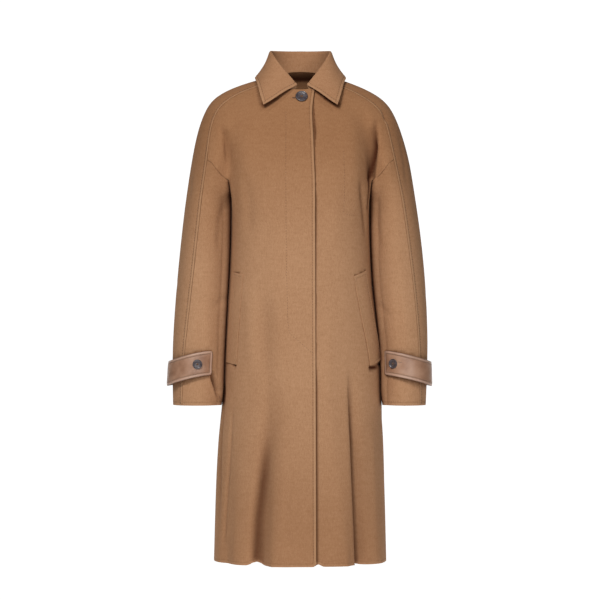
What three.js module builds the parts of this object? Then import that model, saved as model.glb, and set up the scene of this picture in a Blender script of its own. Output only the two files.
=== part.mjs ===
// A wool overcoat with raglan sleeves, in the form it has when it is worn.
// It is hollow, and open at the neck, the hem and both cuffs.
// Millimetres, +Z up. The front faces -Y, and the wearer's left is on +X.
// The origin is the middle of the neck, level with the tops of the shoulders.
import * as THREE from 'three';

const woolThickness = 2.5;
const collarThickness = 2;
const leatherThickness = 2.2;
const seamGap = 0.3; // each piece stops this far short of its seam line
const clearance = 0.6; // what lies on a panel stands this far off it

// Heights of the coat's levels
const underarmZ = -216;
const outerArmholeZ = -168;
const seamArmholeZ = -174;
const chestZ = -300;
const hemZ = -1020;
const sleeveTopZ = -260;
const cuffZ = -690;

// Steps of the panels' meshes
const frontSteps = 12;
const gussetSteps = 4;
const upperSleeveSteps = 12;
const innerSleeveSteps = 8;
const backSteps = 10;
const skirtSteps = 16;
const sleeveSteps = 10;

// The front edges: how far each front reaches past the middle
const overlap = { right: 31, left: 28 };
const overlapFlare = 2; // and how much more at the hem
const overlapLift = 3.7;
const liftFull = -35; // the right front stands out by the whole lift as far as this x
const liftNone = -78; // and lies back on its own line from this x on

// The underarm seam, where the body and the sleeve part
const underarmX = { body: 145.5, bodyEnds: 5.5, sleeve: 149.5, sleeveEnds: 2.8 };
const bodyFoldAngle = 66; // where the armpit's crease meets the body, from the front
const sleeveFoldAngle = -50; // and the sleeve, from its own front towards the outside
const armpitRise = 40; // how far the armpit would run on upwards, for the bend of the rows below it
const sleeveStandOff = { x: 0.9, z: -0.8 }; // keeps the under sleeve off the front at the crease

function table(columns, ...rows) {
  const names = columns.split(' ');
  return rows.map((row) => Object.fromEntries(names.map((name, i) => [name, row[i]])));
}

// Rings round the shoulders, from the neck down to the underarm: half width, sideways shift, heights at
// the side, front and back, depths to the front and back, angle of the raglan seam, depth of the creases
const yokeRings = table(
  'half shift sideZ frontZ backZ front back seam creaseRight creaseLeft creaseBack',
  [72, 0, 4, -27, 22, 62, 60, 52, 0, 0, 0],
  [97, -3, -3, -46, 8, 73, 82, 56, 0, 0, 0],
  [140, -6, -18, -67, -14, 84, 100, 58, 0, 0, 0],
  [175, -6, -37, -91, -42, 95, 112, 59, 0, 2, 0],
  [194, -4, -58, -118, -75, 106, 118, 61, 3, 9, 3],
  [208, -3, -88, -148, -115, 116, 120, 60, 9, 18, 9],
  [219, -2, -122, -180, -160, 124, 118, 58, 20, 28, 16],
  [230, 0, outerArmholeZ, underarmZ, underarmZ, 130, 115, 56, 34, 38, 26],
);
const yokePower = 2.3;
const foldShare = 0.68; // the crease stands at this share of the raglan seam's angle
const creaseWidth = 7; // degrees

const bodyRings = table(
  'z half front back power',
  [-216, 148, 130, 115, 2.9],
  [-300, 146, 134, 112, 2.8],
  [-400, 150, 138, 116, 2.6],
  [-480, 156, 142, 126, 2.5],
  [-560, 161, 146, 136, 2.4],
  [-640, 163, 149, 144, 2.3],
  [-690, 166, 151, 147, 2.3],
  [-750, 173, 154, 150, 2.25],
  [-850, 179, 158, 156, 2.2],
  [-1020, 184, 165, 166, 2.2],
);

// Folds of the skirt: angle from the front where a fold starts and where it meets the hem, height of its
// start, depth at the hem (a ridge is below zero), half width in degrees
const skirtFolds = table(
  'name startAngle hemAngle startZ depth width',
  ['frontValley', -19, -27, -640, 21, 7],
  ['frontRidge', -10, -14, -640, -9, 7],
  ['leftStep', 37, 40, -600, 17, 6.5],
  ['leftRidge', 26, 27, -640, -8, 7],
  ['rightSideCrease', -52, -58, -640, 11, 6],
  ['leftSideRidge', 62, 60, -700, -7, 9],
  ['sideFoldLeft', 98, 96, -560, 14, 8],
  ['sideFoldRight', -101, -104, -600, 16, 8],
  ['backValleyLeft', 138, 134, -500, 24, 9],
  ['backRidge', 157, 158, -540, -10, 9],
  ['backValleyRight', -150, -147, -560, 20, 8],
  ['backSoftFold', 176, 178, -620, 12, 8],
);

// Sleeves: outermost and innermost x, half depth, middle in y, angle of the front seam
const sleeveRings = {
  right: table(
    'z outer inner depth middle seam',
    [-260, 244, 151, 73, 1, 13],
    [-320, 251, 152, 72, -3, 15],
    [-400, 259, 154.5, 71, -8, 18],
    [-480, 265.5, 158, 68, -14, 22],
    [-560, 270, 163, 63, -21, 27],
    [-620, 270.5, 168, 59, -26, 31],
    [-690, 269, 171, 56, -31, 35],
  ),
  left: table(
    'z outer inner depth middle seam',
    [-260, 245, 151, 73, 1, 19],
    [-320, 253.5, 152, 72, -3, 22],
    [-400, 262, 156, 71, -8, 26],
    [-480, 267, 163, 68, -14, 30],
    [-560, 269, 171, 63, -21, 34],
    [-620, 267.5, 175, 59, -26, 38],
    [-690, 264.5, 177.5, 56, -31, 42],
  ),
};

const welts = {
  right: { topZ: -414, bottomZ: -604, topFold: 47, bottomFold: 52, slope: 5, width: 19 },
  left: { topZ: -418, bottomZ: -606, topFold: 42, bottomFold: 55, slope: 12, width: 19 },
};
const weltSteps = { across: 4, down: 8 };

const straps = {
  right: { frontAngle: -37, backAngle: 158, buttonAngle: -3 },
  left: { frontAngle: -60, backAngle: 158, buttonAngle: -30 },
};
const strap = { topZ: -574, height: 52, drop: 16, standTop: 5, standBottom: 10, steps: 22, rows: 3 };

// Roll line of the collar: angle from the front, height
const collarRoll = table(
  'angle z',
  [7, -14],
  [17, 0],
  [35, 21],
  [61, 48],
  [80, 60],
  [120, 65],
  [180, 67],
);
// Outer edge of the collar: angle of the roll line it belongs to, place, and how far the fall dips inwards
const collarEdge = table(
  'angle x y z dip',
  [7, 77, -89, -57, -4],
  [30, 85, -68, -30, -3],
  [60, 93, -38, -7, 2],
  [90, 97, -3, 5, 5],
  [120, 86, 40, 7, 5],
  [150, 50, 75, 12, 4],
  [180, 0, 89, 8, 4],
);
const collarEnds = { right: 7, left: 13 };
const collarHalf = { x: 64, front: 60, back: 58 };
const collarFold = 2.6; // radius of the roll
const collarInset = 2.4; // the stand rises inside the neck's edge
const collarSteps = 15; // along each half

const neckButton = { x: 5, ring: 0.85, radius: 13, height: 4.2 }; // ring: its row among the yoke's rings
const cuffButton = { radius: 10.2, height: 3.8 };

const wool = new THREE.MeshStandardMaterial({ color: 0xb08258, roughness: 0.95, metalness: 0 });
const leather = new THREE.MeshStandardMaterial({ color: 0xa5785a, roughness: 0.6, metalness: 0 });
const horn = new THREE.MeshStandardMaterial({ color: 0x463c3c, roughness: 0.45, metalness: 0 });

const { lerp, degToRad, smoothstep } = THREE.MathUtils;
const signOf = { right: -1, left: 1 };

// A smooth curve through one column of a table
function track(rows, key, name) {
  const at = rows.map((row) => row[key]);
  const to = rows.map((row) => row[name]);
  const last = at.length - 1;
  const slopes = at.map((_, i) => {
    const before = Math.max(i - 1, 0);
    const after = Math.min(i + 1, last);
    return (to[after] - to[before]) / (at[after] - at[before]);
  });
  const rising = at[last] > at[0] ? 1 : -1;
  return (value) => {
    let i = 0;
    while (i < last - 1 && (value - at[i + 1]) * rising > 0) i += 1;
    const span = at[i + 1] - at[i];
    const t = (value - at[i]) / span;
    const bend = t * t * (3 - 2 * t);
    const leave = t * (1 - t) * (1 - t) * span * slopes[i];
    const arrive = t * t * (t - 1) * span * slopes[i + 1];
    return to[i] * (1 - bend) + to[i + 1] * bend + leave + arrive;
  };
}

function tracks(rows, key) {
  const names = Object.keys(rows[0]).filter((name) => name !== key);
  const curves = names.map((name) => [name, track(rows, key, name)]);
  return (value) => Object.fromEntries(curves.map(([name, curve]) => [name, curve(value)]));
}

const bump = (distance, width) => Math.exp(-((distance / width) ** 2));
const power = (value, exponent) => Math.sign(value) * Math.abs(value) ** exponent;

// Angle on a ring at which it passes x
const angleAt = (x, half, ringPower) => (Math.asin((x / half) ** (ringPower / 2)) * 180) / Math.PI;

// Angles in even steps through the given stops
function spread(stops, steps) {
  const angles = [stops[0]];
  steps.forEach((count, i) => {
    for (let k = 1; k <= count; k += 1) angles.push(lerp(stops[i], stops[i + 1], k / count));
  });
  return angles;
}

function armholeHeight(angle, fold, seam) {
  const fromMiddle = Math.min(angle, 180 - angle);
  if (fromMiddle < seam) return lerp(underarmZ, seamArmholeZ, smoothstep(fromMiddle, fold, seam));
  return lerp(seamArmholeZ, outerArmholeZ, (fromMiddle - seam) / (90 - seam));
}

function yokePoint(side, ring, angle) {
  const sine = Math.sin(degToRad(angle));
  const cosine = Math.cos(degToRad(angle));
  const round = 2 / yokePower;
  const fold = ring.seam * foldShare;
  const isFront = cosine > 0;
  const crease = isFront ? { right: ring.creaseRight, left: ring.creaseLeft }[side] : ring.creaseBack;
  const depth = (isFront ? ring.front : ring.back) * Math.abs(cosine) ** round;
  const pinch = crease * bump(Math.min(angle, 180 - angle) - fold, creaseWidth);
  const isArmhole = ring.sideZ === outerArmholeZ;
  const tilt = (isFront ? ring.frontZ : ring.backZ) - ring.sideZ;
  return new THREE.Vector3(
    ring.shift + signOf[side] * ring.half * power(sine, round),
    (isFront ? -1 : 1) * (depth - pinch),
    isArmhole ? armholeHeight(angle, fold, ring.seam) : ring.sideZ + tilt * cosine ** 2,
  );
}

const bodyRing = tracks(bodyRings, 'z');

// The angle grows towards the wearer's left all round the body, from -180 to 180
function bodyPoint(z, angle) {
  const ring = bodyRing(z);
  const sine = Math.sin(degToRad(angle));
  const cosine = Math.cos(degToRad(angle));
  const round = 2 / ring.power;
  const point = new THREE.Vector3(
    ring.half * power(sine, round),
    (cosine > 0 ? -ring.front : ring.back) * Math.abs(cosine) ** round,
    z,
  );
  const out = new THREE.Vector3(sine, -cosine, 0);
  for (const fold of skirtFolds) {
    const down = (fold.startZ - z) / (fold.startZ - hemZ);
    if (down <= 0) continue;
    const middle = lerp(fold.startAngle, fold.hemAngle, down);
    const apart = ((angle - middle + 540) % 360) - 180;
    point.addScaledVector(out, -fold.depth * down ** 1.3 * bump(apart, fold.width));
  }
  return point;
}

const sleeveRing = { right: tracks(sleeveRings.right, 'z'), left: tracks(sleeveRings.left, 'z') };

// The angle on a sleeve grows from its front over its outside to its back
function sleevePoint(side, z, angle) {
  const ring = sleeveRing[side](z);
  const middle = (ring.outer + ring.inner) / 2;
  const half = (ring.outer - ring.inner) / 2;
  return new THREE.Vector3(
    signOf[side] * (middle + half * Math.sin(degToRad(angle))),
    ring.middle - ring.depth * Math.cos(degToRad(angle)),
    z,
  );
}

// A point halfway between the second and the third of four points on a smooth line
function between(a, b, c, d) {
  const near = 9 / 16;
  const far = -1 / 16;
  return b.clone().add(c).multiplyScalar(near).addScaledVector(a, far).addScaledVector(d, far);
}

function yokeGrid(side) {
  return yokeRings.map((ring) => {
    const fold = ring.seam * foldShare;
    const past = -angleAt(overlap[side], ring.half, yokePower);
    const stops = [past, fold, ring.seam, 180 - ring.seam, 180 - fold, 180];
    const steps = [frontSteps, gussetSteps, upperSleeveSteps, gussetSteps, backSteps];
    return spread(stops, steps).map((angle) => yokePoint(side, ring, angle));
  });
}

// Columns of the yoke where a seam or a crease runs
const creaseColumn = frontSteps;
const seamColumn = creaseColumn + gussetSteps;
const backSeamColumn = seamColumn + upperSleeveSteps;
const backCreaseColumn = backSeamColumn + gussetSteps;
const lastColumn = backCreaseColumn + backSteps;
const sideColumn = frontSteps + gussetSteps;
const bodyColumns = 2 * gussetSteps + frontSteps + backSteps;

// Points along the underarm seam, from its front end to its back end
function underarmLine(front, back, x, ends, side, steps) {
  return Array.from({ length: steps + 1 }, (_, i) => {
    const share = i / steps;
    const out = x + ends * (2 * share - 1) ** 4;
    return new THREE.Vector3(signOf[side] * out, lerp(front.y, back.y, share), underarmZ);
  });
}

function bodyGrid(side, yoke) {
  const armhole = yoke.at(-1);
  const [front, back] = [armhole[creaseColumn], armhole[backCreaseColumn]];
  const line = underarmLine(front, back, underarmX.body, underarmX.bodyEnds, side, 2 * gussetSteps);
  const top = [...armhole.slice(0, creaseColumn + 1), ...line.slice(1, -1), ...armhole.slice(backCreaseColumn)];
  const rings = Array.from({ length: skirtSteps + 1 }, (_, i) => {
    const z = lerp(chestZ, hemZ, i / skirtSteps);
    const { half, power: ringPower } = bodyRing(z);
    const past = -angleAt(overlap[side] + overlapFlare * (i / skirtSteps), half, ringPower);
    const stops = [past, bodyFoldAngle, 90, 180 - bodyFoldAngle, 180];
    const angles = spread(stops, [frontSteps, gussetSteps, gussetSteps, backSteps]);
    return angles.map((angle) => bodyPoint(z, signOf[side] * angle));
  });
  const above = [
    ...yoke.at(-2).slice(0, creaseColumn + 1),
    ...line.slice(1, -1).map((point) => point.clone().setZ(underarmZ + armpitRise)),
    ...yoke.at(-2).slice(backCreaseColumn),
  ];
  const middle = top.map((point, i) => between(above[i], point, rings[0][i], rings[1][i]));
  return [top, middle, ...rings];
}

function sleeveGrid(side, yoke) {
  const armhole = yoke.at(-1);
  const standOff = new THREE.Vector3(signOf[side] * sleeveStandOff.x, 0, sleeveStandOff.z);
  const front = armhole[creaseColumn].clone().add(standOff);
  const back = armhole[backCreaseColumn].clone().add(standOff);
  const { sleeve, sleeveEnds } = underarmX;
  const line = underarmLine(back, front, sleeve, sleeveEnds, side, innerSleeveSteps).slice(1, -1);
  const top = [front, ...armhole.slice(creaseColumn + 1, backCreaseColumn), back, ...line, front];
  const rings = Array.from({ length: sleeveSteps + 1 }, (_, i) => {
    const z = lerp(sleeveTopZ, cuffZ, i / sleeveSteps);
    const { seam } = sleeveRing[side](z);
    const stops = [sleeveFoldAngle, seam, 180 - seam, 180 - sleeveFoldAngle, 360 + sleeveFoldAngle];
    const steps = [gussetSteps, upperSleeveSteps, gussetSteps, innerSleeveSteps];
    const ring = spread(stops, steps).map((angle) => sleevePoint(side, z, angle));
    ring[ring.length - 1] = ring[0];
    return ring;
  });
  const above = [
    ...yoke.at(-2).slice(creaseColumn, backCreaseColumn + 1),
    ...line.map((point) => point.clone().setZ(underarmZ + armpitRise)),
    yoke.at(-2)[creaseColumn],
  ];
  const middle = top.map((point, i) => between(above[i], point, rings[0][i], rings[1][i]));
  middle[middle.length - 1] = middle[0];
  return [top, middle, ...rings];
}

// Quads between columns from and to of a grid, faces outwards
function patch(grid, from, to, side = 'left') {
  const quads = [];
  for (let row = 0; row < grid.length - 1; row += 1) {
    for (let column = from; column < to; column += 1) {
      const upper = [grid[row][column], grid[row][column + 1]];
      const lower = [grid[row + 1][column], grid[row + 1][column + 1]];
      const quad = [upper[0], lower[0], lower[1], upper[1]];
      quads.push(side === 'left' ? quad : quad.reverse());
    }
  }
  return quads;
}

function pointNormals(quads) {
  const normals = new Map();
  for (const quad of quads) {
    const across = quad[2].clone().sub(quad[0]);
    const face = across.cross(quad[3].clone().sub(quad[1]));
    for (const point of quad) {
      if (!normals.has(point)) normals.set(point, new THREE.Vector3());
      normals.get(point).add(face);
    }
  }
  normals.forEach((normal) => normal.normalize());
  return normals;
}

// Edges that only one quad has, with the direction into the sheet
function rimEdges(quads, number) {
  const seen = new Map();
  for (const quad of quads) {
    quad.forEach((from, i) => {
      const to = quad[(i + 1) % 4];
      const other = quad[(i + 2) % 4].clone().add(quad[(i + 3) % 4]).multiplyScalar(0.5);
      seen.set(`${number.get(from)} ${number.get(to)}`, { from, to, other });
    });
  }
  const rim = [];
  seen.forEach(({ from, to, other }) => {
    if (seen.has(`${number.get(to)} ${number.get(from)}`)) return;
    const along = to.clone().sub(from).normalize();
    const inward = other.sub(from.clone().add(to).multiplyScalar(0.5));
    inward.addScaledVector(along, -inward.dot(along)).normalize();
    rim.push({ from, to, inward });
  });
  return rim;
}

// A sheet of quads made a wall: its outer face is moved out by lift, and its rim drawn back from the seam
function wall(quads, normals, thickness, lift = () => 0) {
  const points = [...new Set(quads.flat())];
  const number = new Map(points.map((point, i) => [point, i]));
  const rim = rimEdges(quads, number);
  const drawn = new Map();
  for (const { from, to, inward } of rim) {
    for (const point of [from, to]) {
      if (!drawn.has(point)) drawn.set(point, []);
      drawn.get(point).push(inward);
    }
  }
  const outer = [];
  const inner = [];
  for (const point of points) {
    const normal = normals.get(point);
    const place = point.clone().addScaledVector(normal, lift(point));
    const [first, second] = drawn.get(point) ?? [];
    if (first) {
      const mitre = seamGap / Math.max(1 + first.dot(second), 0.6);
      place.addScaledVector(first, mitre).addScaledVector(second, mitre);
    }
    outer.push(place);
    inner.push(place.clone().addScaledVector(normal, -thickness));
  }
  const count = points.length;
  const index = [];
  for (const quad of quads) {
    let [a, b, c, d] = quad.map((point) => number.get(point));
    if (outer[a].distanceTo(outer[c]) > outer[b].distanceTo(outer[d])) [a, b, c, d] = [b, c, d, a];
    index.push(a, b, c, a, c, d);
    index.push(c + count, b + count, a + count, d + count, c + count, a + count);
  }
  for (const { from, to } of rim) {
    const [a, b] = [number.get(from), number.get(to)];
    index.push(b, a, a + count, b, a + count, b + count);
  }
  const geometry = new THREE.BufferGeometry();
  const places = [...outer, ...inner].flatMap((place) => place.toArray());
  geometry.setAttribute('position', new THREE.Float32BufferAttribute(places, 3));
  geometry.setIndex(index);
  geometry.computeVertexNormals();
  return geometry;
}

// Direction out of a surface(u, v), with u towards the wearer's left or outside and v downwards
function outOf(surface, u, v, side) {
  const step = 0.01;
  const point = surface(u, v);
  const alongU = surface(u + step, v).sub(point);
  const alongV = surface(u, v + step).sub(point);
  return alongV.cross(alongU).normalize().multiplyScalar(signOf[side]);
}

// A patch that lies on a surface(u, v), with u and v from 0 to 1 and stand(u, v) its height off it
function laidPatch(surface, stand, thickness, across, down, side) {
  const grid = Array.from({ length: down + 1 }, (_, row) =>
    Array.from({ length: across + 1 }, (_, column) => {
      const [u, v] = [column / across, row / down];
      return surface(u, v).addScaledVector(outOf(surface, u, v, side), clearance + thickness + stand(u, v));
    }),
  );
  const quads = patch(grid, 0, across, side);
  return wall(quads, pointNormals(quads), thickness);
}

function pocketWelt(side) {
  const { topZ, bottomZ, topFold, bottomFold, slope, width } = welts[side];
  const surface = (u, v) => {
    const z = lerp(topZ, bottomZ, v) + slope * u;
    return bodyPoint(z, signOf[side] * (lerp(topFold, bottomFold, v) + width * u));
  };
  return laidPatch(surface, () => 0, woolThickness, weltSteps.across, weltSteps.down, side);
}

function strapSurface(side) {
  const { frontAngle, backAngle } = straps[side];
  return (u, v) => {
    const angle = lerp(frontAngle, backAngle, u);
    const drop = strap.drop * smoothstep(angle, frontAngle, 90);
    return sleevePoint(side, strap.topZ - drop - strap.height * v, angle);
  };
}

// The strap lies close at its ends and stands out between them
const strapStand = (u, v) => Math.sin(Math.PI * u) ** 2 * lerp(strap.standTop, strap.standBottom, v);

function cuffStrap(side) {
  return laidPatch(strapSurface(side), strapStand, leatherThickness, strap.steps, strap.rows, side);
}

function buttonOnStrap(side) {
  const { frontAngle, backAngle, buttonAngle } = straps[side];
  const u = (buttonAngle - frontAngle) / (backAngle - frontAngle);
  const standing = clearance + leatherThickness + strapStand(u, 0.5);
  return button(`button_cuff_${side}`, cuffButton, strapSurface(side), u, 0.5, side, standing);
}

// The yoke's front between two of its rings: u across in degrees, v down in rings
function yokeFront(side) {
  return (u, v) => {
    const upper = Math.floor(v);
    const above = yokePoint(side, yokeRings[upper], u);
    return above.lerp(yokePoint(side, yokeRings[upper + 1], u), v - upper);
  };
}

function buttonAtNeck() {
  const { x, ring } = neckButton;
  const half = lerp(yokeRings[Math.floor(ring)].half, yokeRings[Math.ceil(ring)].half, ring % 1);
  const angle = -angleAt(x, half, yokePower);
  return button('button_neck', neckButton, yokeFront('right'), angle, ring, 'right', overlapLift);
}

const rollHeight = track(collarRoll, 'angle', 'z');
const edgePlace = tracks(collarEdge, 'angle');

// One line up the collar's stand, over its roll and down its fall
function collarLine(side, angle) {
  const start = collarEnds[side];
  const share = (angle - start) / (180 - start);
  const shape = lerp(collarEnds.right, 180, share);
  const sine = Math.sin(degToRad(angle));
  const cosine = Math.cos(degToRad(angle));
  const sign = signOf[side];
  const depth = cosine > 0 ? collarHalf.front : collarHalf.back;
  const out = new THREE.Vector3(sign * sine, -cosine, 0);
  const roll = new THREE.Vector3(sign * collarHalf.x * sine, -depth * cosine, rollHeight(shape));
  const neck = yokePoint(side, yokeRings[0], angle).addScaledVector(out, -collarInset);
  const edge = edgePlace(shape);
  const end = new THREE.Vector3(sign * edge.x, edge.y, edge.z);
  const inner = roll.clone().addScaledVector(out, -collarFold).setZ(roll.z - collarFold);
  const outer = roll.clone().addScaledVector(out, collarFold).setZ(roll.z - collarFold);
  const line = [neck, neck.clone().lerp(inner, 0.5), inner, roll, outer];
  for (const down of [0.25, 0.5, 0.75, 1]) {
    line.push(outer.clone().lerp(end, down).addScaledVector(out, -edge.dip * Math.sin(Math.PI * down)));
  }
  return line;
}

function collar() {
  const half = (side) => spread([collarEnds[side], 180], [collarSteps]).map((angle) => collarLine(side, angle));
  const lines = [...half('right'), ...half('left').reverse().slice(1)];
  const grid = lines[0].map((_, row) => lines.map((line) => line[row]));
  const quads = patch(grid, 0, lines.length - 1, 'right');
  return wall(quads, pointNormals(quads), collarThickness);
}

// A sew-through button with a raised edge, turned about +Z, its back at z = 0
function buttonGeometry({ radius, height }) {
  const profile = [
    [0, 0], [0.88, 0], [1, 0.28], [1, 0.68], [0.93, 0.96], [0.84, 1], [0.74, 0.88], [0.62, 0.66], [0, 0.6],
  ].map(([out, up]) => new THREE.Vector2(out * radius, up * height));
  return new THREE.LatheGeometry(profile, 24).rotateX(Math.PI / 2);
}

// A button on a surface, its back this far out from it
function button(name, size, surface, u, v, side, standing) {
  const mesh = named(name, buttonGeometry(size), horn);
  const out = outOf(surface, u, v, side);
  mesh.quaternion.setFromUnitVectors(new THREE.Vector3(0, 0, 1), out);
  mesh.position.copy(surface(u, v)).addScaledVector(out, standing + clearance);
  return mesh;
}

function named(name, geometry, material) {
  const mesh = new THREE.Mesh(geometry, material);
  mesh.name = name;
  return mesh;
}

const coat = new THREE.Group();

const grids = {};
for (const side of ['right', 'left']) {
  const yoke = yokeGrid(side);
  grids[side] = { yoke, body: bodyGrid(side, yoke), sleeve: sleeveGrid(side, yoke) };
}
// Both halves share the line down the middle of the back
for (const part of ['yoke', 'body']) {
  grids.right[part].forEach((row, i) => { row[row.length - 1] = grids.left[part][i].at(-1); });
}

const panels = { back: [] };
for (const side of ['right', 'left']) {
  const { yoke, body, sleeve } = grids[side];
  const frontSleeveSeam = gussetSteps;
  const backSleeveSeam = gussetSteps + upperSleeveSteps;
  panels[`front_${side}`] = [...patch(yoke, 0, seamColumn, side), ...patch(body, 0, sideColumn, side)];
  panels.back.push(...patch(yoke, backSeamColumn, lastColumn, side));
  panels.back.push(...patch(body, sideColumn, bodyColumns, side));
  panels[`sleeve_upper_${side}`] = [
    ...patch(yoke, seamColumn, backSeamColumn, side),
    ...patch(sleeve, frontSleeveSeam, backSleeveSeam, side),
  ];
  panels[`sleeve_under_${side}`] = [
    ...patch(sleeve, 0, frontSleeveSeam, side),
    ...patch(sleeve, backSleeveSeam, backSleeveSeam + gussetSteps + innerSleeveSteps, side),
  ];
}

const normals = pointNormals(Object.values(panels).flat());
const lapLift = (point) => overlapLift * smoothstep(point.x, liftNone, liftFull);
for (const [name, quads] of Object.entries(panels)) {
  const lift = name === 'front_right' ? lapLift : undefined;
  coat.add(named(name, wall(quads, normals, woolThickness, lift), wool));
}

coat.add(named('collar', collar(), wool));
for (const side of ['right', 'left']) {
  coat.add(named(`pocket_welt_${side}`, pocketWelt(side), wool));
  coat.add(named(`cuff_strap_${side}`, cuffStrap(side), leather));
  coat.add(buttonOnStrap(side));
}
coat.add(buttonAtNeck());

export default coat;
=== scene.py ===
# A camel wool overcoat, worn open-necked on nobody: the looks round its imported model.
# Metres, +Z up. The front faces -Y, and right and left are the wearer's.
import math
import random

import bmesh
import bpy
import numpy as np
from mathutils import Matrix, Vector
from mathutils.bvhtree import BVHTree
from mathutils.kdtree import KDTree


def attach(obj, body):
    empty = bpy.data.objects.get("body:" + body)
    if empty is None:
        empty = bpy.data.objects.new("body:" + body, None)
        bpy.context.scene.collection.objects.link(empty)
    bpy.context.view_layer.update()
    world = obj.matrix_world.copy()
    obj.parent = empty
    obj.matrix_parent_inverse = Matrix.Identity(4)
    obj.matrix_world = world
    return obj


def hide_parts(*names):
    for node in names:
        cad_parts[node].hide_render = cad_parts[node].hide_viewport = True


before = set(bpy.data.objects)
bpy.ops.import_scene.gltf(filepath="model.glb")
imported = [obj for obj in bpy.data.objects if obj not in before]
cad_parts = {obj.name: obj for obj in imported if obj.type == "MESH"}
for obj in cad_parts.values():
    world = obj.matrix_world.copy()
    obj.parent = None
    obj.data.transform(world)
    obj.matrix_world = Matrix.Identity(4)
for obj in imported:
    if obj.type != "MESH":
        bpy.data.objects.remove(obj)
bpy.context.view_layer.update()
chance = random.Random(11)
mm = 0.001
print("frame loaded:", len(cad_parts), "nodes")

# Shader maths


class Wire:
    # The value on a socket, so that shader maths reads as sums
    def __init__(self, finish, socket):
        self.finish = finish
        self.socket = socket

    def math(self, operation, *values):
        return self.finish.put("Math", {"operation": operation}, dict(enumerate(values)))

    def __add__(self, other):
        return self.math("ADD", self, other)

    def __radd__(self, other):
        return self.math("ADD", other, self)

    def __sub__(self, other):
        return self.math("SUBTRACT", self, other)

    def __mul__(self, other):
        return self.math("MULTIPLY", self, other)


class Finish:
    # A material with one principled shader and a way to put nodes in
    def __init__(self, name):
        self.material = bpy.data.materials.new(name)
        self.material.use_nodes = True
        self.tree = self.material.node_tree
        self.tree.nodes.clear()
        output = self.tree.nodes.new("ShaderNodeOutputMaterial")
        self.shader = self.tree.nodes.new("ShaderNodeBsdfPrincipled")
        self.tree.links.new(self.shader.outputs[0], output.inputs["Surface"])

    def put(self, kind, settings=None, inputs=None, out=0):
        node = self.tree.nodes.new("ShaderNode" + kind)
        for name, value in (settings or {}).items():
            if name == "stops":
                while len(node.color_ramp.elements) < len(value):
                    node.color_ramp.elements.new(0.5)
                for element, (place, colour) in zip(node.color_ramp.elements, value):
                    element.position = place
                    element.color = (*colour, 1)
            else:
                setattr(node, name, value)
        for name, value in (inputs or {}).items():
            self.feed(node.inputs[name], value)
        return Wire(self, node.outputs[out])

    def feed(self, socket, value):
        if isinstance(value, Wire):
            self.tree.links.new(value.socket, socket)
        else:
            socket.default_value = value

    def surface(self, **values):
        for name, value in values.items():
            self.feed(self.shader.inputs[name.replace("_", " ")], value)

    def stretched(self, scale):
        place = self.put("TexCoord", out="Object")
        return self.put("Mapping", inputs={"Vector": place, "Scale": scale})

    def height(self):
        return self.put("SeparateXYZ", inputs={"Vector": self.put("TexCoord", out="Object")}, out=2)

    def noise(self, vector, scale, detail=2.0, roughness=0.5):
        inputs = {"Vector": vector, "Scale": scale, "Detail": detail, "Roughness": roughness}
        return self.put("TexNoise", inputs=inputs)

    def attribute(self, name):
        return self.put("Attribute", {"attribute_name": name}, out="Fac")

    def ramp(self, value, *stops):
        # Greys at places along the value
        greys = [(place, (level, level, level)) for place, level in stops]
        return self.put("ValToRGB", {"stops": greys}, {"Fac": value})

    def tones(self, value, look, *places):
        # The look's deep, middle and pale colours at places along the value
        stops = [(place, rgb(*look[name])[:3]) for place, name in zip(places, ("deep", "mid", "pale"))]
        return self.put("ValToRGB", {"stops": stops}, {"Fac": value})

    def edged(self, colour, look, rim):
        # Paints a highlight on the band beside an edge and painted shade at the edge and in its groove, and
        # gives the way to the edge too
        edge = self.attribute("edge") * (1 / seamLook["reach"])
        pale = self.ramp(edge, *seamLook["pale"]) * look["edgeHighlight"]
        colour = self.mix(pale, colour, rgb(*look[rim]))
        dark = self.ramp(edge, *seamLook["dark"]) * look["edgeShade"]
        return self.mix(dark, colour, rgb(*look["groove"])), edge

    def between(self, value, low, high, first, last):
        inputs = {"Value": value, "From Min": low, "From Max": high, "To Min": first, "To Max": last}
        return self.put("MapRange", {"interpolation_type": "SMOOTHSTEP"}, inputs)

    def mix(self, factor, first, second, kind="MIX"):
        settings = {"data_type": "RGBA", "blend_type": kind}
        return self.put("Mix", settings, {0: factor, 6: first, 7: second}, out=2)

    def bump(self, height, strength, distance, under=None):
        inputs = {"Height": height, "Strength": strength, "Distance": distance}
        if under:
            inputs["Normal"] = under
        return self.put("Bump", inputs=inputs)


def rgb(red, green, blue):
    # Screen colours of 0 to 255 as a node wants them
    def linear(value):
        share = value / 255
        return share / 12.92 if share < 0.04045 else ((share + 0.055) / 1.055) ** 2.4

    return (linear(red), linear(green), linear(blue), 1)


# How far the lapped seams and turned edges reach, in mm from the edge of a sheet
seamLook = {
    "reach": 12,
    "ridge": [(0, 0.1), (0.07, 0.75), (0.2, 1), (0.36, 0.9), (0.46, 0.45), (0.54, 0.18), (0.63, 0.42),
              (0.8, 0.5), (1, 0.5)],
    "height": 0.0011,
    # pale is the painted highlight on the raised band, dark the painted shade at the edge and in the groove
    "pale": [(0, 0), (0.08, 0.7), (0.3, 1), (0.42, 0.3), (0.55, 0)],
    "dark": [(0, 1), (0.06, 0.3), (0.12, 0), (0.44, 0), (0.54, 0.45), (0.64, 0), (1, 0)],
}

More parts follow.
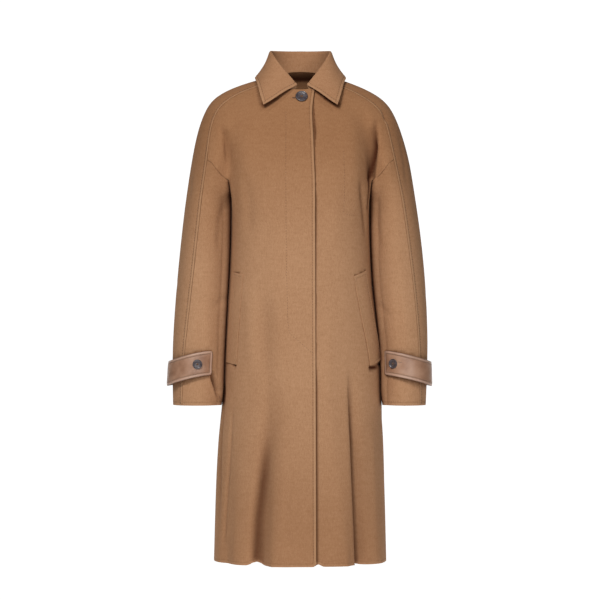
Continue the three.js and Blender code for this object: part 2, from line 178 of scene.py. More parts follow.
woolLook = {
    "deep": (158, 114, 80),
    "mid": (178, 134, 99),
    "pale": (194, 151, 115),
    # ridge colours the painted highlight on raised seams, groove the painted shade at edges and in grooves
    "ridge": (198, 157, 121),
    "groove": (112, 74, 46),
    "chestShade": (0.75, 0.67, 0.58, 1),  # painted shade: the wool is painted darker over the chest and shoulders
    # painted shade over the collar, lighter than on the chest
    "collar": (0.89, 0.84, 0.8, 1),
    # painted shade towards the hem
    "hem": (0.8, 0.75, 0.7, 1),
    "hollow": (0.18, 0.08, 0.03, 1),  # painted shade, darkest deep in a fold or gap
    "rise": (-0.42, -0.1),  # heights over which the painted shade darkens the chest upwards
    "fall": (-0.98, -0.62),  # and the painted shade darkens the hem downwards
    "edgeHighlight": 0.3,
    "edgeShade": 0.5,
    "rough": 0.9,
    "sheen": 0.08,
}


# top names the painted shade that is multiplied in towards the top of the coat
def makeWool(name, top):
    wool = Finish(name)
    straight = wool.stretched((1, 1, 1))
    brushed = wool.stretched((1, 1, 0.3))  # the nap runs down the cloth
    ripple = wool.stretched((1, 1, 3.4))  # faint bars across it, as the press leaves them
    cloud = wool.noise(straight, 7, 3)
    bars = wool.noise(ripple, 60, 2)
    nap = wool.noise(brushed, 460, 3, 0.65)
    fleck = wool.noise(straight, 820, 2, 0.7)
    tone = cloud * 0.16 + bars * 0.16 + nap * 0.38 + fleck * 0.42 - 0.06
    colour = wool.tones(tone, woolLook, 0.3, 0.5, 0.7)
    # Painted shade, darker up the chest and shoulders, or over the collar
    rise = wool.between(wool.height(), *woolLook["rise"], 0.0, 1.0)
    colour = wool.mix(rise, colour, wool.mix(1.0, colour, woolLook[top], "MULTIPLY"))
    # Painted shade, darker towards the hem
    fall = wool.between(wool.height(), *woolLook["fall"], 1.0, 0.0)
    colour = wool.mix(fall, colour, wool.mix(1.0, colour, woolLook["hem"], "MULTIPLY"))
    # Painted shade in folds and gaps
    hollow = wool.attribute("hollow")
    colour = wool.mix(hollow, colour, wool.mix(1.0, colour, woolLook["hollow"], "MULTIPLY"))

    colour, edge = wool.edged(colour, woolLook, "ridge")
    seams = wool.bump(wool.ramp(edge, *seamLook["ridge"]), 1.0, seamLook["height"])
    grain = wool.bump(nap * 0.6 + fleck * 0.5 + bars * 0.5, 0.3, 0.0008, seams)
    wool.surface(Base_Color=colour, Roughness=woolLook["rough"], Normal=grain)
    wool.surface(Sheen_Weight=woolLook["sheen"], Sheen_Roughness=0.5, Sheen_Tint=rgb(220, 186, 150))
    wool.surface(Specular_IOR_Level=0.2)
    return wool.material


leatherLook = {
    "deep": (138, 96, 70),
    "mid": (172, 131, 105),
    "pale": (193, 155, 130),
    # rim colours the painted highlight on the padded rim, groove the painted shade in grooves and hollows
    "rim": (222, 188, 168),
    "groove": (96, 62, 44),
    "rough": 0.36,
    "ridge": [(0, 0.0), (0.08, 0.6), (0.24, 1), (0.4, 0.8), (0.5, 0.1), (0.56, 0), (0.64, 0.35), (0.85, 0.5),
              (1, 0.52)],
    "padding": 0.0018,
    "edgeHighlight": 0.45,
    "edgeShade": 0.7,
}


def makeLeather():
    leather = Finish("strapLeather")
    place = leather.stretched((1, 1, 1))
    cloud = leather.noise(place, 30, 4)
    pebble = leather.put(
        "TexVoronoi", {"feature": "DISTANCE_TO_EDGE"}, {"Vector": place, "Scale": 900.0, "Randomness": 1.0}
    )
    pores = leather.noise(place, 1900, 2)
    colour = leather.tones(cloud * 0.85 + pores * 0.15, leatherLook, 0.28, 0.5, 0.74)
    # Painted shade where the strap is closed in by neighbours
    colour = leather.mix(leather.attribute("hollow"), colour, rgb(*leatherLook["groove"]))
    colour, edge = leather.edged(colour, leatherLook, "rim")
    padding = leather.bump(leather.ramp(edge, *leatherLook["ridge"]), 1.0, leatherLook["padding"])
    crackle = leather.ramp(pebble, (0, 0), (0.14, 1))
    skin = leather.bump(crackle * 0.7 + pores * 0.3, 0.2, 0.0004, padding)
    leather.surface(Base_Color=colour, Roughness=leatherLook["rough"] + cloud * 0.12, Normal=skin)
    leather.surface(Coat_Weight=0.15, Coat_Roughness=0.3)
    return leather.material


hornLook = {"deep": (40, 34, 36), "mid": (74, 66, 70), "pale": (108, 98, 98), "rough": 0.28}


def makeHorn():
    horn = Finish("horn")
    grain = horn.noise(horn.stretched((1, 1, 2.5)), 110, 4, 0.6)
    colour = horn.tones(grain, hornLook, 0.25, 0.5, 0.85)
    horn.surface(Base_Color=colour, Roughness=hornLook["rough"] + grain * 0.15)
    horn.surface(Normal=horn.bump(grain, 0.1, 0.0003), Coat_Weight=0.3, Coat_Roughness=0.18)
    return horn.material


def makeThread(name, colour):
    thread = Finish(name)
    twist = thread.noise(thread.stretched((1, 1, 1)), 2600, 1)
    deep = rgb(*[channel * 0.72 for channel in colour])
    thread.surface(Base_Color=thread.mix(twist, deep, rgb(*colour)), Roughness=0.8)
    thread.surface(Normal=thread.bump(twist, 0.3, 0.0002), Sheen_Weight=0.15)
    return thread.material


# Both wools carry painted shade: the body's darker up the chest, the collar's lighter
woolFinish = makeWool("wool", "chestShade")
collarFinish = makeWool("collarWool", "collar")
leatherFinish = makeLeather()
hornFinish = makeHorn()
woolThread = makeThread("woolThread", (104, 68, 42))
leatherThread = makeThread("leatherThread", (196, 156, 128))
buttonThread = makeThread("buttonThread", (122, 84, 56))
print("finishes made")

# Sheets of cloth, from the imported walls

clothSettings = {
    "wool": 0.0025,  # thickness as packed
    "collar": 0.002,
    "leather": 0.0022,
    "trim": 0.0002,  # left off the thickness, so that neighbours stay clear
    "levels": 3,
    "ease": 0.0009,  # what smoothing takes off a rounded wall
    "softEdge": 0.0008,
    "softEdgeFrom": 55,  # degrees
    "corner": 28,  # degrees that a held corner of the rim turns at least
}


def outerSheet(nodeName, thickness):
    # The outer face of a wall, in quads. The faces of its rim have an edge as long as the wall is thick.
    sheet = bmesh.new()
    sheet.from_mesh(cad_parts[nodeName].data)
    bmesh.ops.remove_doubles(sheet, verts=sheet.verts, dist=0.00002)
    across = [edge for edge in sheet.edges if abs(edge.calc_length() - thickness) < 0.00004]
    rim = {face for edge in across for face in edge.link_faces}
    bmesh.ops.delete(sheet, geom=list(rim), context="FACES")
    left = set(sheet.faces)
    islands = []
    while left:
        todo = [left.pop()]
        island = []
        while todo:
            face = todo.pop()
            island.append(face)
            for edge in face.edges:
                for other in edge.link_faces:
                    if other in left:
                        left.remove(other)
                        todo.append(other)
        islands.append(island)
    islands.sort(key=lambda island: sum(face.calc_area() for face in island))
    spare = [face for island in islands[:-1] for face in island]
    bmesh.ops.delete(sheet, geom=spare, context="FACES")
    bmesh.ops.join_triangles(
        sheet, faces=sheet.faces[:], angle_face_threshold=math.pi, angle_shape_threshold=math.pi
    )
    return sheet


def meshObject(name, shape, finish):
    mesh = bpy.data.meshes.new(name)
    shape.to_mesh(mesh)
    shape.free()
    piece = bpy.data.objects.new(name, mesh)
    bpy.context.scene.collection.objects.link(piece)
    piece.data.materials.append(finish)
    for polygon in mesh.polygons:
        polygon.use_smooth = True
    return piece


def applyModifiers(piece):
    graph = bpy.context.evaluated_depsgraph_get()
    done = bpy.data.meshes.new_from_object(piece.evaluated_get(graph), depsgraph=graph)
    piece.modifiers.clear()
    old = piece.data
    piece.data = done
    bpy.data.meshes.remove(old)


def places(piece):
    flat = np.empty(len(piece.data.vertices) * 3)
    piece.data.vertices.foreach_get("co", flat)
    return flat.reshape(-1, 3)


def directions(piece):
    return np.array([normal.vector[:] for normal in piece.data.vertex_normals])


def putBack(piece, points):
    piece.data.vertices.foreach_set("co", points.ravel())
    piece.data.update()


def treeOf(*pieces):
    corners, faces = [], []
    for piece in pieces:
        first = len(corners)
        corners.extend(Vector(point) for point in places(piece))
        faces.extend([index + first for index in polygon.vertices] for polygon in piece.data.polygons)
    return BVHTree.FromPolygons(corners, faces)


def holdCorners(shape, amount):
    # Corners of the rim are held where they are when the sheet is smoothed
    hold = shape.verts.layers.float.new("crease_vert")
    for vertex in shape.verts:
        ends = [edge.other_vert(vertex).co - vertex.co for edge in vertex.link_edges if edge.is_boundary]
        if len(ends) == 2 and math.pi - ends[0].angle(ends[1]) > math.radians(clothSettings["corner"]):
            vertex[hold] = amount


def makeSheet(name, settings):
    shape = outerSheet(settings["node"], settings["thick"])
    holdCorners(shape, settings.get("hold", 1))
    piece = meshObject(name, shape, settings["finish"])
    smooth = piece.modifiers.new("smooth", "SUBSURF")
    smooth.levels = smooth.render_levels = settings.get("levels", clothSettings["levels"])
    smooth.boundary_smooth = "ALL"
    applyModifiers(piece)
    putBack(piece, places(piece) + directions(piece) * clothSettings["ease"])
    return piece


# Creases, pressed into a sheet along lines of points that are seen from one side

eyes = {
    "front": Vector((-0.001, -5.5, -0.468)),
    "back": Vector((0, 5.5, -0.468)),
    "right": Vector((-5.5, 0, -0.468)),
    "left": Vector((5.5, 0, -0.468)),
}


def onto(tree, eye, points):
    # Points in mm on the plane through the coat's middle that faces the eye, moved along the sight lines
    found = []
    start = eyes[eye]
    for across, up in points:
        target = Vector((across, 0, up)) if eye in ("front", "back") else Vector((0, across, up))
        hit = tree.ray_cast(start, (target * mm - start).normalized())[0]
        if hit:
            found.append(hit)
    return found


def along(path, step):
    # The same path with a point for every step of its length
    corners = np.array([point[:] for point in path])
    run = np.concatenate(([0], np.cumsum(np.linalg.norm(np.diff(corners, axis=0), axis=1))))
    count = max(2, round(run[-1] / step) + 1)
    stops = np.linspace(0, run[-1], count)
    return np.stack([np.interp(stops, run, corners[:, axis]) for axis in range(3)], axis=1)


def softly(share):
    share = np.clip(share, 0, 1)
    return share * share * (3 - 2 * share)


# Painted shade along creases, for each sheet
creaseShade = {}


def pressCrease(piece, tree, points, normals, crease):
    # A trough of some depth and width in mm, or a ridge where the depth is negative. Going down the line,
    # the first width lies on the viewer's left. A lip of some height, place and width stands up beside it,
    # and painted shade darkens the cloth by some amount over two widths. All is measured on the smooth sheet.
    corners = onto(tree, crease.get("seen", "front"), crease["line"])
    if len(corners) < 2:
        return
    path = along(corners, 0.003)
    depth, width = crease["depth"] * mm, crease["width"] * mm
    beyond = crease.get("beyond", crease["width"]) * mm
    near = np.full(len(points), 9.0)
    at = np.zeros(len(points))
    side = np.zeros(len(points))
    for index, (start, end) in enumerate(zip(path, path[1:])):
        way = end - start
        share = np.clip((points - start) @ way / (way @ way), 0, 1)
        gap = points - start - share[:, None] * way
        distance = np.linalg.norm(gap, axis=1)
        closer = distance < near
        near[closer] = distance[closer]
        at[closer] = (index + share[closer]) / (len(path) - 1)
        across = np.cross(way / np.linalg.norm(way), normals[closer])
        side[closer] = np.einsum("ij,ij->i", gap[closer], across)
    first, last = crease.get("fade", (0.3, 0.3))
    strength = np.ones(len(points))
    if first:
        strength *= softly(at / first)
    if last:
        strength *= softly((1 - at) / last)
    push = -depth * np.exp(-((near / np.where(side > 0, width, beyond)) ** 2))
    if "lip" in crease:
        high, place, wide = (value * mm for value in crease["lip"])
        push += high * np.exp(-(((side - place) / wide) ** 2)) * (near < abs(place) + 3 * wide)
    putBack(piece, places(piece) + normals * (push * strength)[:, None])
    # Painted shade along the crease
    if "dark" in crease:
        amount, first, second = crease["dark"]
        worn = amount * np.exp(-((near / np.where(side > 0, first * mm, second * mm)) ** 2)) * strength
        creaseShade[piece.name] = np.maximum(creaseShade.get(piece.name, 0), worn)


# Entries with dark paint shade into the cloth: along folds, in the gaps by the sleeves, under the welts'
# feet, under the collar's edge and beside the front edge
frontRightCreases = [
    {"line": [(-70, -540), (-68, -600), (-66, -698), (-80, -817), (-92, -936), (-95, -1024)], "depth": 6,
     "width": 14, "beyond": 30, "fade": (0.5, 0), "dark": (0.18, 8, 34)},
    {"line": [(-66, -698), (-80, -817), (-92, -936), (-95, -1024)], "depth": 7, "width": 6, "beyond": 13,
     "lip": (2, 14, 9), "fade": (0.5, 0), "dark": (0.75, 5, 13)},
    {"line": [(-78, -430), (-75, -520), (-72, -600), (-70, -660)], "depth": 5, "width": 16, "beyond": 22,
     "dark": (0.1, 14, 20)},
    {"line": [(-112, -420), (-108, -520), (-104, -640)], "depth": -2.5, "width": 16},
    {"line": [(-142, -668), (-150, -800), (-163, -996)], "depth": 2.5, "width": 5, "fade": (0.3, 0.1),
     "dark": (0.12, 3, 3)},
    {"line": [(-160, -640), (-168, -760), (-171, -880), (-173, -980)], "depth": 7, "width": 13, "beyond": 4,
     "dark": (0.45, 14, 2.5), "fade": (0.1, 0.6)},
    {"line": [(-173, -93), (-162, -115), (-157, -150), (-152, -205)], "depth": 6, "width": 5, "beyond": 10,
     "fade": (0.2, 0.6), "dark": (0.3, 3, 7)},
    {"line": [(-33, -700), (-34, -830), (-36, -1010)], "depth": -3, "width": 24, "fade": (0.5, 0.1)},
    {"line": [(-120, -180), (-112, -260), (-110, -340)], "depth": 3.5, "width": 15},
    {"line": [(-72, -120), (-70, -220), (-76, -340)], "depth": -2.5, "width": 24},
    # A crease under the welt's foot, with painted shadow along it
    {"line": [(-150, -595), (-142, -603), (-137, -607)], "depth": 6, "width": 3, "fade": (0.1, 0.1),
     "dark": (1.2, 4, 3)},
    # Painted shadow under the collar's lower edge, with no crease
    {"line": [(-80, -50), (-78, -56), (-44, -35), (-11, -15)], "depth": 0, "width": 3, "fade": (0, 0.1),
     "dark": (0.85, 5, 8)},
]
skirtStep = [(103, -600), (105, -668), (112, -832), (118, -1026)]
underEdge = [(27, -20), (32, -111), (33, -255), (31.5, -454), (31.5, -596), (34.5, -653), (36, -1032)]
frontLeftCreases = [
    {"line": skirtStep, "depth": 12, "width": 4, "beyond": 17, "lip": (2, 12, 9), "fade": (0.4, 0),
     "dark": (0.9, 3.5, 8)},
    {"line": skirtStep, "depth": 0, "width": 4, "fade": (0.6, 0), "dark": (0.22, 14, 40)},
    {"line": [(164, -60), (162, -90), (160, -144), (153, -205), (149, -250)], "depth": 7, "width": 13,
     "beyond": 4, "fade": (0.2, 0), "dark": (0.45, 15, 4)},
    {"line": [(163, -72), (161, -90), (159, -144), (151.5, -205), (147, -245), (143, -285)], "depth": 5,
     "width": 6, "beyond": 3.5, "fade": (0.3, 0.1), "dark": (1, 7, 3.5)},
    # Painted shadow under the collar's lower edge, with no crease
    {"line": [(17, -16), (48, -36), (79, -56), (82, -50)], "depth": 0, "width": 3, "fade": (0.1, 0),
     "dark": (0.85, 5, 8)},
    # Painted shadow beside the right front's edge, with no crease
    {"line": underEdge, "depth": 0, "width": 3, "fade": (0, 0), "dark": (0.8, 6, 2)},
    {"line": [(126, -200), (131, -240), (137, -300), (139, -345)], "depth": 4.5, "width": 8,
     "dark": (0.2, 6, 6)},
    {"line": [(75, -160), (72, -260), (76, -380)], "depth": -2.5, "width": 22},
    {"line": [(64, -480), (60, -640), (66, -900)], "depth": -2.5, "width": 18},
    {"line": [(150, -700), (155, -850), (160, -1010)], "depth": -2, "width": 12, "fade": (0.3, 0)},
    # A crease under the welt's foot, with painted shadow along it
    {"line": [(144, -614), (152, -613), (160, -610), (171, -602)], "depth": 6, "width": 3, "fade": (0.1, 0),
     "dark": (1.3, 4, 3)},
]
backCreases = [
    {"seen": "back", "line": [(-160, -110), (-146, -230), (-128, -350)], "depth": 7, "width": 5, "beyond": 12,
     "dark": (0.35, 3, 9)},
    {"seen": "back", "line": [(158, -120), (148, -220), (136, -310)], "depth": 6, "width": 12, "beyond": 5,
     "dark": (0.35, 9, 3)},
    {"seen": "back", "line": [(-58, -560), (-72, -790), (-84, -1024)], "depth": 8, "width": 8, "beyond": 18,
     "fade": (0.4, 0), "dark": (0.35, 5, 14)},
    {"seen": "back", "line": [(46, -600), (55, -780), (62, -1024)], "depth": 9, "width": 14, "beyond": 6,
     "lip": (2.5, -14, 9), "fade": (0.35, 0), "dark": (0.5, 12, 4)},
    {"seen": "back", "line": [(118, -680), (126, -850), (131, -1024)], "depth": 5, "width": 9,
     "fade": (0.4, 0)},
    {"seen": "back", "line": [(-8, -760), (-14, -900), (-15, -1024)], "depth": 3.5, "width": 12,
     "fade": (0.5, 0)},
    {"seen": "back", "line": [(-134, -640), (-142, -820), (-146, -1024)], "depth": 4, "width": 8,
     "fade": (0.4, 0)},
    {"seen": "back", "line": [(-70, -180), (-62, -290), (-66, -420)], "depth": -3, "width": 22},
    {"seen": "back", "line": [(78, -160), (70, -270), (72, -390)], "depth": -2.5, "width": 20},
    {"seen": "back", "line": [(-60, -430), (0, -452), (66, -440)], "depth": 2, "width": 12},
    {"seen": "right", "line": [(52, -480), (62, -700), (70, -1020)], "depth": 5, "width": 12,
     "fade": (0.4, 0)},
    {"seen": "left", "line": [(46, -520), (58, -760), (62, -1020)], "depth": 4.5, "width": 10,
     "fade": (0.4, 0)},
]
sleeveUpperRightCreases = [
    {"line": [(-225, -120), (-232, -190), (-236, -260)], "depth": 1.6, "width": 9},
    {"seen": "right", "line": [(-20, -470), (18, -486), (52, -478)], "depth": 2.4, "width": 8},
    {"seen": "right", "line": [(-26, -430), (6, -446), (30, -444)], "depth": 1.6, "width": 7},
    {"seen": "right", "line": [(30, -150), (36, -230), (33, -300)], "depth": 2.2, "width": 10},
]
sleeveUpperLeftCreases = [
    {"line": [(174, -58), (178, -84), (187, -130)], "depth": 5.5, "width": 4, "beyond": 9,
     "dark": (0.35, 3, 7)},
    {"line": [(205, -100), (221, -170), (229, -250)], "depth": 1.6, "width": 9},
    {"seen": "left", "line": [(-24, -452), (12, -470), (46, -458)], "depth": 2.2, "width": 8},
    {"seen": "left", "line": [(-10, -500), (20, -512), (40, -508)], "depth": 1.6, "width": 6},
    {"seen": "left", "line": [(26, -140), (34, -240), (30, -310)], "depth": 2, "width": 10},
]
sleeveUnderRightCreases = [
    {"line": [(-190, -618), (-186, -636), (-178, -662), (-171, -688)], "depth": 9, "width": 5, "beyond": 9,
     "lip": (1.5, 9, 5), "fade": (0.25, 0), "dark": (0.8, 4, 7)},
    {"line": [(-212, -468), (-214, -530), (-208, -585)], "depth": 2.2, "width": 7, "fade": (0.4, 0.2)},
    {"line": [(-160, -455), (-178, -480), (-206, -492)], "depth": 1.6, "width": 7},
    {"line": [(-158, -250), (-172, -300), (-176, -380)], "depth": 2, "width": 9},
    {"seen": "back", "line": [(-168, -380), (-190, -420), (-214, -436)], "depth": 3, "width": 8},
    {"seen": "back", "line": [(-170, -470), (-196, -496), (-226, -500)], "depth": 2.6, "width": 7},
    {"seen": "back", "line": [(-176, -210), (-188, -300), (-190, -380)], "depth": 2.4, "width": 9},
]
sleeveUnderLeftCreases = [
    {"line": [(158, -230), (164, -300), (170, -380)], "depth": 2, "width": 9},
    {"line": [(166, -470), (184, -498), (206, -508)], "depth": 1.6, "width": 8},
    {"line": [(206, -440), (211, -520), (214, -570)], "depth": 1.8, "width": 7},
    {"seen": "back", "line": [(166, -400), (188, -436), (212, -448)], "depth": 3, "width": 8},
    {"seen": "back", "line": [(172, -500), (198, -524), (224, -522)], "depth": 2.4, "width": 7},
    {"seen": "back", "line": [(174, -220), (184, -310), (188, -390)], "depth": 2.2, "width": 9},
]
weltRightCreases = [
    {"line": [(-145, -416), (-122, -422)], "depth": 0.9, "width": 1.8, "fade": (0.05, 0.05)},
]
weltLeftCreases = [
    {"line": [(112, -427), (146, -418)], "depth": 1, "width": 1.8, "fade": (0.05, 0.05)},
]

sheetSettings = {
    "frontRight": {"node": "front_right", "flat": (0.46, 1.06), "area": 0.33, "creases": frontRightCreases},
    "frontLeft": {"node": "front_left", "flat": (0.46, 1.06), "area": 0.33, "creases": frontLeftCreases},
    "back": {"node": "back", "flat": (0.82, 1.10), "area": 0.58, "creases": backCreases},
    "sleeveUpperRight": {
        "node": "sleeve_upper_right", "flat": (0.22, 0.78), "area": 0.13, "creases": sleeveUpperRightCreases,
    },
    "sleeveUpperLeft": {
        "node": "sleeve_upper_left", "flat": (0.22, 0.78), "area": 0.13, "creases": sleeveUpperLeftCreases,
    },
    "sleeveUnderRight": {
        "node": "sleeve_under_right", "flat": (0.28, 0.52), "area": 0.12, "creases": sleeveUnderRightCreases,
    },
    "sleeveUnderLeft": {
        "node": "sleeve_under_left", "flat": (0.28, 0.52), "area": 0.12, "creases": sleeveUnderLeftCreases,
    },
    "collar": {
        "node": "collar", "flat": (0.52, 0.13), "area": 0.055, "thick": clothSettings["collar"], "hold": 0.6,
        "finish": collarFinish,
    },
    "weltRight": {
        "node": "pocket_welt_right", "flat": (0.045, 0.2), "area": 0.009, "levels": 4,
        "creases": frontRightCreases[:3] + weltRightCreases,
    },
    "weltLeft": {
        "node": "pocket_welt_left", "flat": (0.045, 0.2), "area": 0.009, "levels": 4,
        "creases": weltLeftCreases,
    },
    "strapRight": {
        "node": "cuff_strap_right", "flat": (0.21, 0.052), "area": 0.0107, "thick": clothSettings["leather"],
        "levels": 4, "slot": "strap_leather", "finish": leatherFinish, "hold": 0,
    },
    "strapLeft": {
        "node": "cuff_strap_left", "flat": (0.23, 0.052), "area": 0.0115, "thick": clothSettings["leather"],
        "levels": 4, "slot": "strap_leather", "finish": leatherFinish, "hold": 0,
    },
}

sheets = {}
for name, settings in sheetSettings.items():
    settings.setdefault("thick", clothSettings["wool"])
    settings.setdefault("finish", woolFinish)
    settings.setdefault("slot", "wool")
    sheets[name] = makeSheet(name, settings)
print("sheets made:", sum(len(piece.data.polygons) for piece in sheets.values()), "faces")

# The body swells towards the left sleeve below the waist: heights and shifts in mm

swell = [(-850, 0), (-787, 1.5), (-723, 3.5), (-681, 7), (-638, 8.5), (-596, 9), (-553, 7.5), (-511, 4),
         (-440, 0)]
swellFrom, swellOver = 0.1, 0.05  # how far aside it starts, and grows to its full
heights, shifts = zip(*swell)

for name in ("frontLeft", "back", "weltLeft"):
    points = places(sheets[name])
    aside = softly((points[:, 0] - swellFrom) / swellOver)
    points[:, 0] += np.interp(points[:, 2] / mm, heights, shifts) * mm * aside
    putBack(sheets[name], points)

bodyTrees = [treeOf(sheets[name]) for name in ("frontRight", "frontLeft", "back")]

for name, piece in sheets.items():
    tree = treeOf(piece)
    points = places(piece)
    normals = directions(piece)
    for crease in sheetSettings[name].get("creases", []):
        pressCrease(piece, tree, points, normals, crease)
print("creases pressed")

# The hem rises a little where a fold draws it in

hemLift = {
    "from": -0.96,
    "to": -1.02,
    "folds": [("frontRight", -0.094, 0.011, 0.007), ("frontLeft", 0.037, 0.007, 0.005),
              ("back", 0.062, 0.012, 0.004)],
    "round": 0.008,
    "cornerTop": -1,
    "cornerReach": 0.02,
}

for name, middle, width, lift in hemLift["folds"]:
    points = places(sheets[name])
    low = softly((hemLift["from"] - points[:, 2]) / (hemLift["from"] - hemLift["to"]))
    points[:, 2] += lift * low * np.exp(-(((points[:, 0] - middle) / width) ** 2))
    putBack(sheets[name], points)

# The front's lower corner is rounded
points = places(sheets["frontRight"])
low = points[:, 2] < hemLift["cornerTop"]
edgePlace = points[low, 0].max()
inside = edgePlace - points[:, 0]
radius = hemLift["round"]
bow = radius - np.sqrt(np.maximum(radius ** 2 - (radius - np.clip(inside, 0, radius)) ** 2, 0))
lowest = points[low & (points[:, 0] > edgePlace - hemLift["cornerReach"]), 2].min()
corner = (inside < radius) & low
points[corner, 2] = np.maximum(points[corner, 2], lowest + bow[corner])
putBack(sheets["frontRight"], points)

# Welts lie flush along their seam, and stand off a little at their free edge and foot

weltLie = {
    "top": (114, -426),  # ends of the seam, in mm
    "low": (146, -606),
    "sink": 1.9,
    "over": 22,
    "foot": 0.8,
    "footFrom": 0.88,  # share of the seam's length above the foot
    "footOver": 8,
    "free": {"weltRight": 0.25, "weltLeft": 1},
}

for name, share in weltLie["free"].items():
    piece = sheets[name]
    points = places(piece)
    (topX, topZ), (lowX, lowZ) = weltLie["top"], weltLie["low"]
    down = (points[:, 2] / mm - topZ) / (lowZ - topZ)
    seam = topX + (lowX - topX) * down
    out = np.abs(points[:, 0] / mm) - np.abs(seam)
    free = softly(out / weltLie["over"]) * share
    foot = weltLie["foot"] * softly((down - weltLie["footFrom"]) / (1 - weltLie["footFrom"]))
    lift = -weltLie["sink"] * (1 - free) + foot * softly(out / weltLie["footOver"])
    putBack(piece, points + directions(piece) * (lift * mm)[:, None])

# The straps hang lower behind the arm, and their lower edge stands off

strapLie = {
    "drop": 0.0085,
    "stand": 0.0018,
    "lean": 0.07,
    "crown": 0.0018,
    "middle": (-0.603, -0.617),  # heights of its middle in front and at the outside
    "half": 0.026,
    "lowOver": 0.02,
    "behindFrom": -0.02,
    "behindOver": 0.05,
}

for name in ("strapRight", "strapLeft"):
    piece = sheets[name]
    points = places(piece)
    across = np.abs(points[:, 0])
    share = (across - across.min()) / (across.max() - across.min())
    behind = softly((points[:, 1] - strapLie["behindFrom"]) / strapLie["behindOver"])
    drop = strapLie["drop"] * np.maximum(share ** 2, behind)
    middle = np.interp(across, [across.min(), across.max()], strapLie["middle"])
    low = softly((middle - points[:, 2]) / strapLie["lowOver"])
    crown = 1 - ((points[:, 2] - middle) / strapLie["half"]) ** 2
    points += directions(piece) * (strapLie["stand"] * low + strapLie["crown"] * crown * share)[:, None]
    points[:, 0] += np.sign(points[:, 0]) * strapLie["lean"] * share ** 2 * (points[:, 2] - middle)
    points[:, 2] -= drop
    putBack(piece, points)

# The collar's fall stands off the fronts, and its points hang down a little

collarLie = {"lift": 0.0055, "drop": 0.0055}
points = places(sheets["collar"])
loose = softly((-0.004 - points[:, 2]) / 0.045) * softly((-0.02 - points[:, 1]) / 0.03)
points += directions(sheets["collar"]) * (collarLie["lift"] * loose)[:, None]
points[:, 2] -= collarLie["drop"] * loose * softly((np.abs(points[:, 0]) - 0.02) / 0.05)
putBack(sheets["collar"], points)

# The sleeves rest against the body

snug = {"gap": 0.0012, "most": 0.009, "reach": 0.02, "from": -0.2, "to": -0.7}


def restSleeve(piece, body, toBody):
    # Points of the sleeve that look at the body move towards it
    points = places(piece)
    normals = directions(piece)
    for index, (point, normal) in enumerate(zip(points, normals)):
        facing = normal[0] * toBody
        if facing < 0.1 or not snug["to"] - 0.05 < point[2] < snug["from"]:
            continue
        gaps = [tree.ray_cast(Vector(point), Vector((toBody, 0, 0)))[3] for tree in body]
        gap = min((gap for gap in gaps if gap is not None), default=None)
        if gap is None or gap > snug["reach"]:
            continue
        hold = float(softly((facing - 0.1) / 0.75) * softly((point[2] - snug["to"] + 0.05) / 0.1))
        hold *= float(softly((snug["reach"] - gap) / (snug["reach"] * 0.4)))
        points[index][0] += toBody * min(max(gap - snug["gap"], 0), snug["most"]) * hold
    putBack(piece, points)


restSleeve(sheets["sleeveUnderRight"], bodyTrees, 1)
restSleeve(sheets["sleeveUnderLeft"], bodyTrees, -1)
print("sleeves rested")

# Rims: where each sheet ends, and which sheet it meets there


class Rim:
    # The boundary of a sheet in order, with the way into the cloth at each point
    def __init__(self, piece):
        shape = bmesh.new()
        shape.from_mesh(piece.data)
        shape.verts.ensure_lookup_table()
        beside = {}
        inward = {}
        for edge in shape.edges:
            if edge.is_boundary:
                middle = edge.link_faces[0].calc_center_median()
                for vertex in edge.verts:
                    beside.setdefault(vertex.index, []).append(edge.other_vert(vertex).index)
                    inward[vertex.index] = middle
        loop = [min(beside)]
        while True:
            ahead = [index for index in beside[loop[-1]] if len(loop) < 2 or index != loop[-2]]
            if ahead[0] == loop[0]:
                break
            loop.append(ahead[0])
        self.points = [shape.verts[index].co.copy() for index in loop]
        self.inward = []
        for place, index in enumerate(loop):
            way = (self.points[(place + 1) % len(loop)] - self.points[place - 1]).normalized()
            turn = shape.verts[index].normal.cross(way)
            into = inward[index] - self.points[place]
            self.inward.append(turn if turn.dot(into) > 0 else -turn)
        shape.free()
        self.nextTo = [None] * len(loop)

    def runs(self, test, least=0.04):
        # Stretches of the rim whose points pass the test, each as a list of places along it
        count = len(self.points)
        passed = [test(self.points[place], self.nextTo[place]) for place in range(count)]
        if all(passed):
            return [list(range(count)) + [0]]
        start = passed.index(False)
        found = [[]]
        for step in range(count):
            place = (start + step) % count
            if passed[place]:
                found[-1].append(place)
            elif found[-1]:
                found.append([])
        return [run for run in found if len(run) > 1 and self.length(run) > least]

    def length(self, run):
        return sum((self.points[first] - self.points[second]).length for first, second in zip(run, run[1:]))

    def row(self, run, inside, tree):
        # The run as a path on the sheet, some way inside its edge
        return [tree.find_nearest(self.points[place] + self.inward[place] * inside)[0] for place in run]


rims = {name: Rim(piece) for name, piece in sheets.items()}
meeting = 0.005
owners = [(name, point) for name, rim in rims.items() for point in rim.points]
rimTree = KDTree(len(owners))
for index, (name, point) in enumerate(owners):
    rimTree.insert(point, index)
rimTree.balance()
for name, rim in rims.items():
    for place, point in enumerate(rim.points):
        close = [(gap, owners[index][0]) for spot, index, gap in rimTree.find_range(point, meeting)]
        others = sorted(entry for entry in close if entry[1] != name)
        rim.nextTo[place] = others[0][1] if others else None
print("rims traced:", sum(len(rim.points) for rim in rims.values()), "points")

hemTop = -1.012
cuffTop = -0.686


def besideOf(*names):
    return lambda point, nextTo: nextTo in names


def isCuff(point, nextTo):
    return point.z < cuffTop


def isHem(point, nextTo):
    return point.z < hemTop


def isFrontEdge(point, nextTo):
    return nextTo is None and abs(point.x) < 0.05 and point.z > hemTop


def everywhere(point, nextTo):
    return True


def isCollarEdge(point, nextTo):
    return nextTo is None and point.z > -0.07


def isWeltTop(point, nextTo):
    return point.z > -0.424


